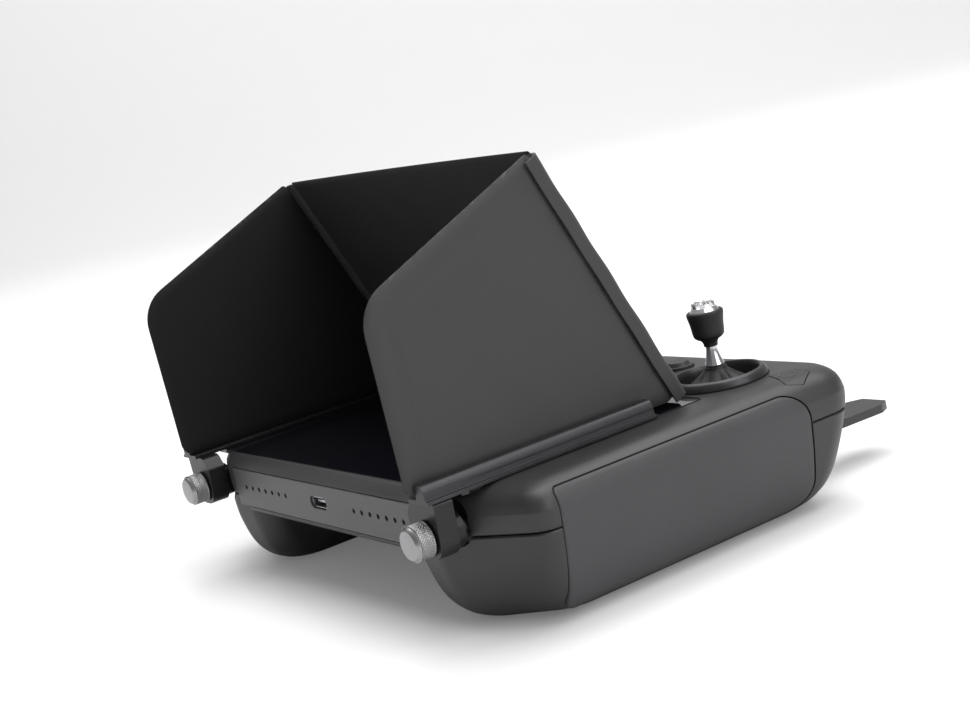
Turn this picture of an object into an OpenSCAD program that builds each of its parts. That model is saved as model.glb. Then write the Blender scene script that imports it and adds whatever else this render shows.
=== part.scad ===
// Handheld radio transmitter controller with a built-in screen, two sticks,
// folding antennas and a three-panel monitor hood held by side rails.
// Millimetres. +X right, +Y away from the user, +Z up out of the screen.
// Z = 0 is the flat underside of the grips. The front face is at y = front_y.

/* [Body] */
// Overall width across the grips
body_w = 177.5; // [170:0.5:185]
// Depth from the front face to the rear face, without antennas
body_d = 121.3; // [118:0.1:126]
// Height of the top face above the grips' underside
top_z = 37.5; // [36:0.5:40]
// Height of the seam between the upper and lower shells
seam_z = 25.5; // [24:0.5:27]
// Underside of the thin middle section
belly_z = 20; // [19:0.5:21]
// Distance from the centre plane to a grip's inner wall
grip_in = 44; // [42:0.5:46]

/* [Screen] */
// Half width of the cover glass
glass_x = 71.5; // [70:0.5:72]
// Rear edge of the cover glass, from the front face
glass_rear = 82; // [80:0.5:82.5]
// Half width of the speaker and port strip in the front face
bezel_x = 54; // [50:1:55]

/* [Sticks] */
// Distance from the centre plane to a stick
stick_x = 60.2; // [59:0.1:61]
// Stick distance from the front face
stick_y = 97.1; // [97:0.1:98]
// Depth of the stick pivot below the top face
pivot_depth = 8; // [7.8:0.1:8.2]
// Height of the stick above the top face
stick_h = 21.5; // [19:0.5:23]

/* [Hood] */
// Height of the hood's top edge above the top face
hood_h = 74.2; // [60:0.1:80]
// How far the hood's back panel leans forward at the top
hood_lean = 32.5; // [28:0.5:36]
// Panel thickness
panel_t = 1.6; // [1.4:0.1:1.8]
// Length of each side rail
rail_len = 71; // [60:1:72]

/* [Antennas] */
// Distance from the centre plane to an antenna pivot
antenna_x = 58; // [57:0.5:58.5]
// Reach of an antenna from its pivot to its tip
antenna_len = 42; // [38:1:45]

/* [Hidden] */
$fn = 48;

head_reach = 11;          // reach of the thumbscrew heads in front of the front face
rear_r = 10.6;            // radius of the body's rear corners in plan
half_w = body_w / 2;
gap = 0.2;                // assembly clearance between fixed pieces
wall = 3.8;               // shell wall, including the pad recess
pad_t = 1.6;              // grip pad thickness
cavity_top = top_z - 2.5; // inside of the upper shell
bay_x = 65;              // half width of the antenna bay under the rear edge
bay_y = 106;              // front wall of the antenna bay
pivot_z = top_z - pivot_depth;
boot_r = 12.2;            // radius of the boot's dome about the stick pivot
screw_x = 67;             // hood thumbscrew, from the centre plane
screw_z = top_z - 9;      // hood thumbscrew height
seat_z = top_z - 8.3;     // middle of the recess around it
seat_mid = 4.4;           // along the slanted front, from where it starts
slant_front = atan(14 / (half_w - 60));
face_z = top_z + 0.2;     // top of the cover glass
dial_r = 6.5;
dial_at = [73.5, 113.2, 16];
spindle_r = 1.45;
antenna_y = 114;
// Where the front face lies in the part's frame
front_y = (head_reach - antenna_y - antenna_len) / 2;
antenna_drop = 4.6;       // how far the tip sits below the pivot
antenna_z = 17.8;         // mid height of an antenna
fan_at = [0, 62, 22.6];
lean = atan(hood_lean / hood_h);
black = [0.10, 0.10, 0.11];
graphite = [0.20, 0.20, 0.21];
rubber = [0.24, 0.24, 0.25];
silver = [0.72, 0.72, 0.74];

// ---- helpers ----

module placed() translate([0, front_y, 0]) children();

module side(s) if (s > 0) children(); else mirror([1, 0, 0]) children();

module both() { children(); mirror([1, 0, 0]) children(); }

// Points of an arc that rounds the corner b between a and c with radius b[2]
function corner(a, b, c, n) =
    let (p = [b[0], b[1]], r = b[2],
        u = ([a[0], a[1]] - p) / norm([a[0], a[1]] - p),
        v = ([c[0], c[1]] - p) / norm([c[0], c[1]] - p),
        half = acos(u * v) / 2,
        m = p + (u + v) / norm(u + v) * r / sin(half),
        s = p + u * r / tan(half) - m,
        e = p + v * r / tan(half) - m,
        a0 = atan2(s[1], s[0]),
        turn = atan2(e[1], e[0]) - a0,
        sweep = turn > 180 ? turn - 360 : turn < -180 ? turn + 360 : turn)
    [for (i = [0:n]) m + r * [cos(a0 + sweep * i / n), sin(a0 + sweep * i / n)]];

// A polygon whose corners [x, y, r] are rounded
function rounded(k, n = 8) = [for (i = [0:len(k) - 1])
    each corner(k[(i + len(k) - 1) % len(k)], k[i], k[(i + 1) % len(k)], n)];

function mirrored_x(k) = [for (i = [len(k) - 1:-1:0]) [-k[i][0], k[i][1], k[i][2]]];

// Right half of the plan outline, moved in by side, front and rear insets:
// a straight front, slanted grip fronts and round rear corners
function right_corners(s, f, r) =
    [[60, f, 12], [half_w - s, 14 + f + 0.4 * s, 7], [half_w - s, body_d - r, rear_r - 0.3 * s]];
function body_slice(s, f, r) =
    rounded(concat(right_corners(s, f, r), mirrored_x(right_corners(s, f, r))), 10);
body_outline = body_slice(0, 0, 0);

module box(lo, hi) translate(lo) cube(hi - lo);

module round_box(x, y, z, r) translate([-x / 2, -y / 2, 0])
    linear_extrude(z) polygon(rounded([[0, 0, r], [x, 0, r], [x, y, r], [0, y, r]], 6));

// Upper body: [height, side, front, rear] insets
top_profile = [[seam_z, 0.4, 0.4, 0.4], [seam_z + 5, 0, 0, 0], [top_z - 4.3, 0.9, 0.2, 0.4],
    [top_z - 2.3, 2.5, 0.9, 1.3], [top_z - 0.7, 5.2, 2.2, 3], [top_z, 9, 3.7, 5.6]];

module upper_solid() hull() for (p = top_profile)
    translate([0, 0, p[0] - 0.01]) linear_extrude(0.01) polygon(body_slice(p[1], p[2], p[3]));

// Grip: [height, outer, front, inner, rear insets, rear corner radius], down to the underside
grip_profile = [[seam_z, 0.4, 0.4, 0, 0.4, rear_r], [17.5, 1.6, 0.9, 0.5, 3, 10.8],
    [9, 3.6, 3.2, 1.6, 6.4, 11], [4, 6.8, 6.5, 3, 9.4, 11.4], [1.4, 10.8, 10.5, 5, 13, 11.6],
    [0, 15, 15.5, 8, 18, 11]];

function grip_slice(p, d) =
    let (x0 = grip_in + p[3] + d, x1 = half_w - p[1] - d, y = p[2] + d, y1 = body_d - p[4] - d)
    rounded([[x0, 1.5 + y, 8 - d], [60, y, 6], [x1, 14 + y, 6], [x1, y1, p[5] - d], [x0, y1, 8 - d]], 6);

// Right grip as a solid, shrunk by d all round
module grip_solid(d = 0) hull() for (p = grip_profile)
    translate([0, 0, p[0] + (p[0] == seam_z ? -0.01 : d)]) linear_extrude(0.01) polygon(grip_slice(p, d));

function end_slice(p, d) =
    let (k = right_corners(p[1] + d, p[2] + d, p[3] + d))
    rounded(concat([[grip_in + d, p[2] + d, 1]], k, [[grip_in + d, body_d - p[3] - d, 1]]), 8);

// Right end of the body from underside to top face, shrunk by d
module end_solid(d) hull() {
    for (p = grip_profile) translate([0, 0, max(p[0], d)]) linear_extrude(0.01) polygon(grip_slice(p, d));
    for (p = top_profile) translate([0, 0, p[0] - d - 0.01]) linear_extrude(0.01) polygon(end_slice(p, d));
}

// Side window that bounds a grip pad, grown by d
module pad_window(d) translate([62, 0, 0]) rotate([90, 0, 90]) linear_extrude(40)
    polygon(rounded([[19.5 - d, 1.6 - d, 5], [102.3 + d, 1.6 - d, 8], [102.3 + d, 35 + d, 9],
        [19.5 - d, 35 + d, 1.4]], 8));

module antenna_bay(d = 0) box([-bay_x - d, bay_y - d, -1], [bay_x + d, 130, seam_z + 1]);

module pentagon(d, z0, z1) translate([80.2, 105, z0]) linear_extrude(z1 - z0) offset(delta = d)
    polygon([[-6.2, -1.8], [4, -5.6], [5.8, -1.2], [2.4, 4.8], [-3.4, 5.4]]);

button_spots = [[-33, 106], [-22, 96], [22, 96]];   // home, pause, power
nav_spot = [33, 106];
switch_y = 100;
led_y = 112;

// ---- casing ----

module top_shell() color(graphite) placed() difference() {
    upper_solid();
    translate([0, 0, seam_z - 1]) linear_extrude(cavity_top - seam_z + 1)
        offset(delta = -wall) polygon(body_outline);
    // recess for the cover glass and the window for the panel under it
    box([-glass_x - gap, 3.6, top_z - 1], [glass_x + gap, glass_rear + gap, top_z + 2]);
    box([-64, 8, cavity_top - 1], [64, 79, top_z]);
    // front strip
    box([-bezel_x - gap, -5, seam_z - 1], [bezel_x + gap, 3, top_z - 3.5]);
    box([-bezel_x + 2, 0, seam_z - 1], [bezel_x - 2, 6, top_z - 5]);
    both() {
        translate([stick_x, stick_y, 30]) cylinder(r = 12.7, h = 12);
        pentagon(gap, 30, 40);
        difference() { pad_window(0.15); end_solid(pad_t + 0.15); }
        screw_seat(13.8, 12.4, -3, 5.8);
        translate([screw_x, -1, screw_z]) rotate([-90, 0, 0]) cylinder(r = 2.3, h = 14);
        translate([66, 125, 30.3]) rotate([90, 0, 0]) cylinder(r = 3.4, h = 12);
        for (i = [0:5]) box([27 + i * 4, 116, 28], [29 + i * 4, 125, 33]);
    }
    for (p = button_spots) translate([p[0], p[1], 30]) cylinder(r = 5 + gap, h = 10);
    translate([nav_spot[0], nav_spot[1], 30]) cylinder(r = 4.5 + gap, h = 10);
    translate([0, switch_y, 30]) round_box(14.6, 6.8, 10, 3);
    for (i = [-1.5:1.5]) translate([i * 5, led_y, 30]) cylinder(r = 0.9, h = 10);
    box([-9, led_y + 2.6, 30], [9, led_y + 3.8, 40]);
    // rear ports
    box([-22, 116, 27.3], [-6.4, 125, 33]);
    box([-3.4, 116, 29.2], [9, 125, 31]);
    box([11, 116, 27.2], [24.6, 125, 33]);
}

module bottom_shell() color(graphite) placed() {
    difference() {
        union() {
            difference() {
                union() {
                    intersection() {
                        hull() {
                            translate([0, 0, belly_z]) linear_extrude(0.01) polygon(body_slice(2, 2, 2));
                            translate([0, 0, belly_z + 1.6]) linear_extrude(seam_z - gap - belly_z - 1.6)
                                polygon(body_slice(0.4, 0.4, 0.4));
                        }
                        box([-50, -5, 0], [50, 118, seam_z]);
                    }
                    both() difference() { grip_solid(); box([0, -5, seam_z - gap], [100, 130, 40]); }
                }
                antenna_bay();
                box([-52, 3, belly_z + 2], [52, bay_y - 2, seam_z + 1]);
                both() difference() {
                    translate([0, 0, 0.01]) grip_solid(3.4);
                    antenna_bay(2);
                    translate(dial_at - [0, 0, 5.6]) cylinder(r = dial_r + 2.4, h = 11.2);
                }
            }
            // roof of the antenna bay
            box([-bay_x - 2, bay_y - 2, seam_z - 1.7], [bay_x + 2, 118.5, seam_z - 0.5]);
            both() for (p = screw_spots) if (p[2] > 1) translate([p[0], p[1], p[2] + 1]) cylinder(r = 4.2, h = 4.6);
        }
        both() {
            difference() { pad_window(0.15); end_solid(pad_t + 0.15); }
            screw_seat(13.8, 12.4, -3, 5.8);
            translate(dial_at - [0, 0, 3.4]) cylinder(r = dial_r + 0.6, h = 6.8);
            translate([35, 70, belly_z - 1]) round_box(8.4, 14.4, 5, 3.2);
            for (p = screw_spots) translate([p[0], p[1], -1]) {
                cylinder(r = 2.5, h = p[2] + 3.95);
                cylinder(r = 1.25, h = p[2] + 6);
            }
        }
        box([-bezel_x - gap, -5, belly_z + 2.2], [bezel_x + gap, 3, seam_z + 1]);
        box([-bezel_x + 2, 0, belly_z + 2], [bezel_x - 2, 6, seam_z + 1]);
        // air intake grille
        for (i = [-5:5]) box([i * 4 - 1, 50 + abs(i) * 1.2, belly_z - 1], [i * 4 + 1, 74 - abs(i) * 1.2, belly_z + 3]);
    }
    both() translate(dial_at - [0, 0, 3.6]) cylinder(r = spindle_r, h = 7.2);
}

// Case screws: [x, y, height of the screw head's seat]
screw_spots = [[38, 12, belly_z + 0.2], [38, 98, belly_z + 0.2], [56, 30, 0.2], [56, 88, 0.2]];

module case_screws() color(black) placed() both() for (p = screw_spots)
    translate([p[0], p[1], p[2] + 1.4]) difference() {
        union() {
            cylinder(r = 2.3, h = 1.5);
            cylinder(r = 1.2, h = 3.4);
        }
        translate([0, 0, -1]) cylinder(r = 1.1, h = 1.8, $fn = 6);
    }

// Strip in the front face with the speaker holes and the charging port
module front_bezel() color(graphite) placed() difference() {
    union() {
        box([-bezel_x, 0, belly_z + 2.4], [bezel_x, 2.6, top_z - 3.7]);
        both() box([bezel_x - 14, 2.6, belly_z + 3], [bezel_x - 3, 4.6, belly_z + 5]);
    }
    both() for (i = [0:6]) translate([20.5 + i * 4.4, -1, top_z - 9]) rotate([-90, 0, 0])
        cylinder(r = 0.75, h = 5);
    translate([0, -1, top_z - 9]) rotate([-90, 0, 0]) round_slot(9.6, 3.6, 5);
}

// A slot w wide and h high with round ends, extruded by t
module round_slot(w, h, t) linear_extrude(t)
    polygon(rounded([[-w / 2, -h / 2, h / 2.01], [w / 2, -h / 2, h / 2.01],
        [w / 2, h / 2, h / 2.01], [-w / 2, h / 2, h / 2.01]], 6));

module usb_c_port() color(silver) placed() translate([0, 0.6, top_z - 9]) rotate([-90, 0, 0]) {
    difference() {
        round_slot(9, 3.2, 7.2);
        translate([0, 0, -1]) round_slot(8.4, 2.6, 7.4);
    }
    translate([-3.2, -0.35, 1]) cube([6.4, 0.7, 5.4]);
}

module grip_pad(s) color(rubber) placed() side(s) intersection() {
    pad_window(0);
    difference() { end_solid(0); end_solid(pad_t); }
}
module right_grip_pad() grip_pad(1);
module left_grip_pad() grip_pad(-1);

// Rounded-rectangle prism sunk into the slanted grip front, from depth t0 to t1
module screw_seat(w, h, t0, t1) translate([60, 0, 0]) rotate(slant_front) translate([seat_mid, t0, seat_z])
    rotate([-90, 0, 0]) round_box(w, h, t1 - t0, 4.4);

// Metal plates behind the grip fronts that take the hood's thumbscrews
module screw_plates() color([0.16, 0.16, 0.17]) placed() both() difference() {
    screw_seat(13.4, 12, 3, 5.6);
    translate([screw_x, 1, screw_z]) rotate([-90, 0, 0]) cylinder(r = 1.95, h = 14);
}

// ---- screen and electronics ----

module screen_glass() color([0.02, 0.02, 0.03]) placed() translate([0, (3.8 + glass_rear) / 2, top_z - 1])
    round_box(glass_x * 2, glass_rear - 3.8, 1.2, 2.5);

module lcd_panel() color([0.05, 0.05, 0.07]) placed() box([-62, 9, top_z - 3.6], [62, 78, top_z - 1.1]);

module mid_frame() color([0.45, 0.45, 0.47]) placed() difference() {
    union() {
        box([-64, 10.4, top_z - 5.2], [64, 80, top_z - 3.8]);
        both() for (y = [14, 74]) translate([46, y, 25.9]) cylinder(r = 2.4, h = top_z - 5.2 - 25.9);
    }
    both() for (x = [22, 44], y = [30, 58]) translate([x, y, 30]) cylinder(r = 6, h = 6);
}

module main_board() color([0.05, 0.25, 0.12]) placed() {
    difference() {
        box([-50, 12, 27.4], [50, 82, 28.6]);
        translate([0, 62, 26]) cylinder(r = 15, h = 4);
        both() for (y = [14, 74]) translate([46, y, 26]) cylinder(r = 2.8, h = 4);
    }
}

module shield_cans() color(silver) placed() {
    box([-46, 20, 28.65], [-20, 42, 30.4]);
    box([-14, 16, 28.65], [14, 40, 30.4]);
    box([20, 20, 28.65], [44, 42, 30.4]);
    box([20, 48, 28.65], [40, 66, 30.4]);
}

module battery_cells() color([0.25, 0.45, 0.6]) placed() both()
    translate([68, 23, 15.4]) rotate([-90, 0, 0]) {
        cylinder(r = 9.15, h = 63.8);
        translate([0, 0, 63.8]) cylinder(r = 3.5, h = 1.4);
    }

module fan_housing() color(black) placed() translate(fan_at) difference() {
    translate([0, 0, 0]) round_box(28, 28, 4.4, 4);
    translate([0, 0, 0.8]) cylinder(r = 12.6, h = 5);
    for (a = [0:60:300]) rotate(a) translate([8, 0, -1]) cylinder(r = 2.6, h = 3);
}

module fan_rotor() color([0.15, 0.15, 0.16]) placed() translate(fan_at + [0, 0, 1.2]) {
    cylinder(r = 5, h = 3);
    for (i = [0:8]) rotate(i * 40) translate([4.6, -0.4, 0.2]) cube([7, 0.8, 2.6]);
}

module heat_sink() color([0.55, 0.55, 0.57]) placed() {
    box([-24, 84, 22.4], [24, 102, 23.6]);
    for (i = [0:11]) box([-23.5 + i * 4.2, 84, 23.6], [-22.5 + i * 4.2, 102, 28]);
}

module speakers() color(black) placed() both() box([22, 5, 25.9], [46, 11.4, 31.4]);

// HDMI, memory card and USB-A receptacles in the rear face
module rear_ports() color(silver) placed() {
    difference() {
        box([-21.8, 108, 27.5], [-6.6, 120.6, 32.8]);
        box([-21.2, 112, 28.1], [-7.2, 121, 32.2]);
    }
    box([-20, 112, 29.8], [-8.4, 119.5, 30.6]);
    difference() {
        box([-3.2, 108, 29.3], [8.8, 120.6, 30.9]);
        box([-2.8, 110, 29.7], [8.4, 121, 30.5]);
    }
    difference() {
        box([11.2, 108, 27.4], [24.4, 120.6, 32.8]);
        box([11.7, 110, 27.9], [23.9, 121, 32.3]);
    }
    box([12.4, 110, 30.3], [23.2, 119.5, 31.9]);
}

module light_pipe() color([0.85, 0.9, 0.85]) placed() {
    for (i = [-1.5:1.5]) translate([i * 5, led_y, 34]) cylinder(r = 0.7, h = top_z - 34 - 0.1);
    box([-8.8, led_y + 2.8, 34], [8.8, led_y + 3.6, top_z - 0.1]);
    box([-9.5, led_y - 1.2, 33.2], [9.5, led_y + 4, 34.6]);
}

// ---- sticks ----

module at_pivot(s) placed() side(s) translate([stick_x, stick_y, pivot_z]) children();

module gimbal_base(s) color(black) at_pivot(s) difference() {
    union() {
        translate([0, 0, -4]) round_box(30, 27.4, 5.8, 3);
        difference() {
            translate([0, 0, -6.2]) cylinder(r = 10.9, h = 3);
            translate([-20, 6.5, -10]) cube([40, 20, 6.2]);
        }
    }
    translate([0, 0, -3]) cylinder(r = 12.8, h = 12);
    translate([0, 0, -5.2]) cylinder(r = 9.9, h = 12);
    translate([-20, 0, 0]) rotate([0, 90, 0]) cylinder(r = 1.05, h = 40);
}
module right_gimbal_base() gimbal_base(1);
module left_gimbal_base() gimbal_base(-1);

// Inner ring that tips about X on its trunnions and carries the stick's cross pin
module yoke(s) color([0.5, 0.5, 0.52]) at_pivot(s) difference() {
    union() {
        translate([0, 0, -1.3]) difference() {
            cylinder(r = 8.8, h = 2.6);
            translate([0, 0, -1]) cylinder(r = 6.2, h = 6);
        }
        for (a = [0, 180]) rotate([0, 0, a]) translate([8, 0, 0]) rotate([0, 90, 0]) cylinder(r = 1, h = 6.6);
    }
    rotate([90, 0, 0]) cylinder(r = 1.05, h = 30, center = true);
}
module right_yoke() yoke(1);
module left_yoke() yoke(-1);

// Metal shaft with its hub and cross pin
module stick(s) color(silver) at_pivot(s) {
    sphere(r = 4);
    rotate([90, 0, 0]) cylinder(r = 1, h = 17, center = true);
    rotate_extrude() polygon(concat([[0, 0], [2.2, 0], [2.2, 12.45], [2.6, 12.45]],
        [for (i = [0:8]) [1.5 + 1.2 * pow(1 - i / 8, 1.5), 12.75 + i * 0.62]],
        [[1.5, pivot_depth + stick_h - 2.4], [0, pivot_depth + stick_h - 2.4]]));
}
module right_stick() stick(1);
module left_stick() stick(-1);

// Rubber sleeve of the stick head, waisted below and flared above
module stick_grip(s) color([0.12, 0.12, 0.13]) at_pivot(s) translate([0, 0, pivot_depth + stick_h - 10])
    rotate_extrude() polygon([[1.55, -1.6], [1.8, -1.6], [2, -0.6], [2.5, 0.2], [3.5, 0.7], [4.1, 1.3],
        [4.35, 2.2], [4.45, 3.6], [4.65, 5.2], [4.95, 6.6], [5.05, 7.4], [4.95, 8], [4.6, 8.3], [4.15, 8.2],
        [4.15, 5.6], [1.55, 5.6]]);
module right_stick_grip() stick_grip(1);
module left_stick_grip() stick_grip(-1);

// Metal crown: a tapered cap with a dished top and a ring of upright teeth
module stick_crown(s) color(silver) at_pivot(s) translate([0, 0, pivot_depth + stick_h - 4.3]) difference() {
    union() {
        cylinder(r = 4.05, h = 2.6);
        translate([0, 0, 2.6]) cylinder(r1 = 4.05, r2 = 3.3, h = 1);
        for (i = [0:7]) rotate(i * 45) translate([0, 0, 3.5]) rotate([90, 0, 90]) translate([0, 0, 1.4])
            linear_extrude(1.75) polygon([[-0.85, 0], [0.85, 0], [0.3, 1.4], [-0.3, 1.4]]);
    }
    translate([0, 0, 2.6]) cylinder(r1 = 0.6, r2 = 1.8, h = 2);
    translate([0, 0, -1]) cylinder(r = 1.55, h = 3);
}
module right_stick_crown() stick_crown(1);
module left_stick_crown() stick_crown(-1);

// Domed boot that closes the gimbal opening and moves with the stick
module boot(s) color([0.08, 0.08, 0.09]) at_pivot(s) rotate_extrude() polygon(concat(
    [for (a = [25.5:5:62]) boot_r * [cos(a), sin(a)]], [[3.1, 12.4], [2.25, 12.4], [2.25, 11.1]],
    [for (a = [72:-5:27]) (boot_r - 0.9) * [cos(a), sin(a)]]));
module right_boot() boot(1);
module left_boot() boot(-1);

module gimbal_ring(s) color([0.18, 0.18, 0.19]) placed() side(s) translate([stick_x, stick_y, top_z])
    rotate_extrude($fn = 72) polygon([[11.3, -2.5], [12.5, -2.5], [12.5, 0.02], [14, 0.02], [13.7, 1.5],
        [13, 2.3], [12.4, 2.6], [11.9, 2.4], [11.3, 0.6]]);
module right_gimbal_ring() gimbal_ring(1);
module left_gimbal_ring() gimbal_ring(-1);

// ---- buttons, switch and dials ----

// Five-sided button whose top follows the rounded shoulder of the casing
module corner_button() {
    intersection() {
        pentagon(0, 32.9, 45);
        translate([0, 0, 0.15]) upper_solid();
    }
    intersection() {
        pentagon(1.1, 32, 33);
        translate([0, 0, 31]) linear_extrude(4) offset(delta = -wall - gap) polygon(body_outline);
    }
}
module confirm_button() color(black) placed() corner_button();
module back_button() color(black) placed() mirror([1, 0, 0]) corner_button();

// Round push button with a dished face and a retaining flange
module round_button(p, r) placed() translate([p[0], p[1], 0]) difference() {
    union() {
        translate([0, 0, 33]) cylinder(r = r, h = top_z - 33 + 0.7);
        translate([0, 0, 32]) cylinder(r = r + 1.2, h = 1.2);
    }
    translate([0, 0, top_z + 0.7 + 18.6]) sphere(r = 19, $fn = 96);
}
module home_button() color(graphite) round_button(button_spots[0], 5);
module pause_button() color(graphite) round_button(button_spots[1], 5);
module power_button() color(graphite) round_button(button_spots[2], 5);
module nav_knob() color(graphite) placed() translate([nav_spot[0], nav_spot[1], 0]) {
    translate([0, 0, 33]) cylinder(r = 4.5, h = top_z - 33 + 0.8);
    translate([0, 0, 32]) cylinder(r = 5.7, h = 1.2);
    translate([0, 0, top_z + 0.8]) cylinder(r1 = 3.6, r2 = 3, h = 1.2);
}

module mode_switch() color(graphite) placed() translate([0, switch_y, 0]) {
    translate([0, 0, 33]) round_box(7, 6.4, top_z - 33 + 1.2, 2.6);
    translate([0, 0, 32]) round_box(21.6, 8.4, 1, 2);
    for (i = [-1:1]) translate([i * 1.6 - 0.3, -2.4, top_z + 1.1]) cube([0.6, 4.8, 0.5]);
}

module shoulder_button(s) color(graphite) placed() side(s) translate([66, 121.6, 30.3]) rotate([90, 0, 0]) {
    cylinder(r = 3.2, h = 6.8);
    translate([0, 0, 5.8]) cylinder(r = 4.2, h = 1);
}
module shutter_button() shoulder_button(1);
module record_button() shoulder_button(-1);

module custom_button(s) color(graphite) placed() side(s) translate([35, 70, belly_z - 0.8]) {
    round_box(8, 14, 3.6, 3);
    translate([0, 0, 3]) round_box(10, 16, 1, 3);
}
module custom_button_right() custom_button(1);
module custom_button_left() custom_button(-1);

// Knurled shoulder wheel on a vertical spindle
module dial(s) color(graphite) placed() side(s) translate(dial_at) difference() {
    translate([0, 0, -3]) cylinder(r = dial_r, h = 6, $fn = 72);
    for (i = [0:35]) rotate(i * 10) translate([dial_r + 0.1, 0, -4]) cylinder(r = 0.4, h = 8, $fn = 13);
    translate([0, 0, -4]) cylinder(r = spindle_r + 0.05, h = 8);
}
module right_dial() dial(1);
module left_dial() dial(-1);

// ---- antennas ----

// Flat paddle: a tapered plan outline cut by a side outline that slopes down to the tip
module paddle() intersection() {
    translate([0, 0, -9]) linear_extrude(16) polygon(rounded([[-5.2, 2, 0.3], [5.2, 2, 0.3], [7, 12, 3],
        [6.8, antenna_len - 5, 3], [4, antenna_len, 2.5], [-4, antenna_len, 2.5],
        [-6.8, antenna_len - 5, 3], [-7, 12, 3]], 6));
    translate([-10, 0, 0]) rotate([90, 0, 90]) linear_extrude(20) polygon(rounded([[1, -2.7, 0.3],
        [9, -3.2, 3], [20, -antenna_drop - 0.8, 8], [antenna_len, -antenna_drop - 1.3, 1.2],
        [antenna_len, -antenna_drop + 1.2, 1.2], [22, -antenna_drop + 1.5, 10], [10, 2.4, 3],
        [1, 2.7, 0.3]], 6));
}

module antenna(s) color(graphite) placed() side(s) translate([antenna_x, antenna_y, antenna_z]) difference() {
    union() {
        translate([0, 0, -4]) cylinder(r = 5.4, h = 8);
        paddle();
    }
    translate([0, 0, -10]) cylinder(r = 1.55, h = 20);
}
module right_antenna() antenna(1);
module left_antenna() antenna(-1);

// Lugs above and below each antenna barrel, on a plate against the bay wall
module antenna_brackets() color(black) placed() both() translate([antenna_x, antenna_y, antenna_z]) difference() {
    union() {
        for (z = [-5.8, 4.3]) translate([0, 0, z]) {
            cylinder(r = 4.6, h = 1.5);
            translate([-4.6, -7.9, 0]) cube([9.2, 7.9, 1.5]);
        }
        translate([-4.6, -7.9, -5.8]) cube([9.2, 1.6, 11.6]);
    }
    translate([0, 0, -10]) cylinder(r = 1.55, h = 20);
}

module antenna_pins() color(silver) placed() both() translate([antenna_x, antenna_y, antenna_z - 5.9])
    cylinder(r = 1.5, h = 11.8);

// ---- hood ----

hood_y = 79.5;            // where the back panel's inner face meets the top face
crease = 1;               // crease allowance between a side panel and the back panel
side_in = 66.7;           // inner face of a side panel
slant = norm([hood_lean, hood_h]);

// Position on a side panel's rear edge at height z
function rear_edge(z) = hood_y - crease * slant / hood_h - z * hood_lean / hood_h;

// Side panel outline in (y, z above the top face), rounded at the front corner
side_outline = rounded([[-8, 1.6, 0.6], [rear_edge(1.6), 1.6, 0.3],
    [rear_edge(hood_h - 0.6), hood_h - 0.6, 0.8], [-8.6, 49.4, 11]], 8);

// Side panel with a round bead along its crease
module side_panel(s) color([0.13, 0.13, 0.14]) placed() side(s) translate([side_in, 0, top_z]) {
    rotate([90, 0, 90]) linear_extrude(panel_t) polygon(side_outline);
    translate([panel_t / 2, rear_edge(2.4), 2.4]) rotate([lean, 0, 0])
        cylinder(r = panel_t / 2, h = (hood_h - 4.4) * slant / hood_h);
}
module hood_right_panel() side_panel(1);
module hood_left_panel() side_panel(-1);

module hood_back_panel() color([0.13, 0.13, 0.14]) placed() translate([0, hood_y, top_z]) rotate([lean, 0, 0])
    translate([-side_in + 0.4, 0, 1.2]) cube([2 * side_in - 0.8, panel_t, slant - 1.2]);

// Rail: a flange under the panel's edge and a round-backed bar outside it
module rail(s) color([0.16, 0.16, 0.17]) placed() side(s) translate([0, -6.5, face_z]) rotate([-90, 0, 0])
    mirror([0, 1, 0]) linear_extrude(rail_len) polygon(concat(
        [[64.4, 0.1], [73.6, 0.1], [73.6, 0.9], [72.6, 1.1]],
        [for (a = [-10:14:88]) [70.2, 2.6] + 2.3 * [cos(a), sin(a)]],
        [[69.6, 4.9], [68.5, 4.6], [68.5, 1.1], [64.4, 1.1]]));
module right_rail() rail(1);
module left_rail() rail(-1);

// Bracket that hangs from the rail's front end and takes the thumbscrew
module bracket(s) color([0.16, 0.16, 0.17]) placed() side(s) difference() {
    union() {
        translate([0, 0.2, 0]) rotate([90, 0, 0]) linear_extrude(5.4) polygon(rounded(
            [[59.8, top_z - 3.4, 1.5], [61.6, screw_z - 5.4, 4.5], [72.6, screw_z - 5.6, 5],
            [73.6, top_z + 0.2, 0.8], [62.6, top_z + 0.2, 2.5]], 6));
        translate([screw_x, 0, screw_z]) rotate([-90, 0, 0]) cylinder(r = 4.9, h = 3);
    }
    translate([screw_x, -8, screw_z]) rotate([-90, 0, 0]) cylinder(r = 2.1, h = 16);
}
module right_bracket() bracket(1);
module left_bracket() bracket(-1);

// Thumbscrew: knurled head, plain shank
module thumbscrew(s) color(silver) placed() side(s) translate([screw_x, -5.4, screw_z]) rotate([90, 0, 0]) {
    difference() {
        cylinder(r = 4.6, h = 5, $fn = 72);
        for (i = [0:29]) rotate(i * 12) translate([4.75, 0, -1]) cylinder(r = 0.28, h = 5.4, $fn = 13);
    }
    translate([0, 0, 5]) cylinder(r1 = 4.4, r2 = 3.9, h = 0.6);
    translate([0, 0, -16.2]) cylinder(r = 1.9, h = 16.3);
}
module right_thumbscrew() thumbscrew(1);
module left_thumbscrew() thumbscrew(-1);

// ---- output ----

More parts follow.
